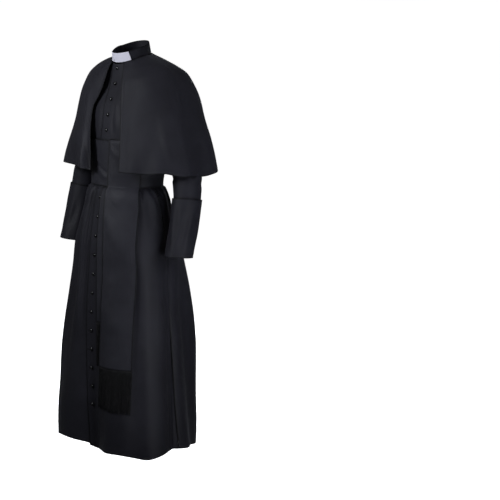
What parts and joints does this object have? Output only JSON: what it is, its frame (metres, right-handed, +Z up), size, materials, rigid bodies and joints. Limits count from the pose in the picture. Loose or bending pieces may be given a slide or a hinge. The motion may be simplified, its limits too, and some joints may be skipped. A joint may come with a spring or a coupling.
{
  "type": "clerical cassock with shoulder cape and fringed sash",
  "caption": "Full-length buttoned cassock with a white-tabbed collar, open shoulder cape and fringed sash, hollow as worn.",
  "frame": {"origin": "centre of the neck seam, where the wearer's neck and shoulders hold the garment", "axes": "+Z up, -Y the wearer's front, +X the wearer's left"},
  "size_m": [0.6114, 0.4136, 1.39],
  "materials": {
    "twill": "matt black polyester twill with a soft sheen",
    "sash_cloth": "smooth black satin-backed cloth, slightly glossier than the twill",
    "tab_white": "smooth white plastic",
    "button_black": "glossy black plastic",
    "fringe_black": "matt black rayon yarn"
  },
  "bodies": {
    "root": {"back": "twill", "button_01": "button_black", "button_02": "button_black", "button_03": "button_black", "button_04": "button_black", "button_05": "button_black", "button_06": "button_black", "button_07": "button_black", "button_08": "button_black", "button_09": "button_black", "button_10": "button_black", "button_11": "button_black", "button_12": "button_black", "button_13": "button_black", "button_14": "button_black", "button_15": "button_black", "button_16": "button_black", "button_17": "button_black", "cape": "twill", "collar": "twill", "collar_tab": "tab_white", "cuff_left": "twill", "cuff_right": "twill", "fringe_back": "fringe_black", "fringe_front": "fringe_black", "front_left": "twill", "front_right": "twill", "sash_band": "sash_cloth", "sash_tail_back": "sash_cloth", "sash_tail_front": "sash_cloth", "sleeve_left": "twill", "sleeve_right": "twill"}
  },
  "joints": []
}
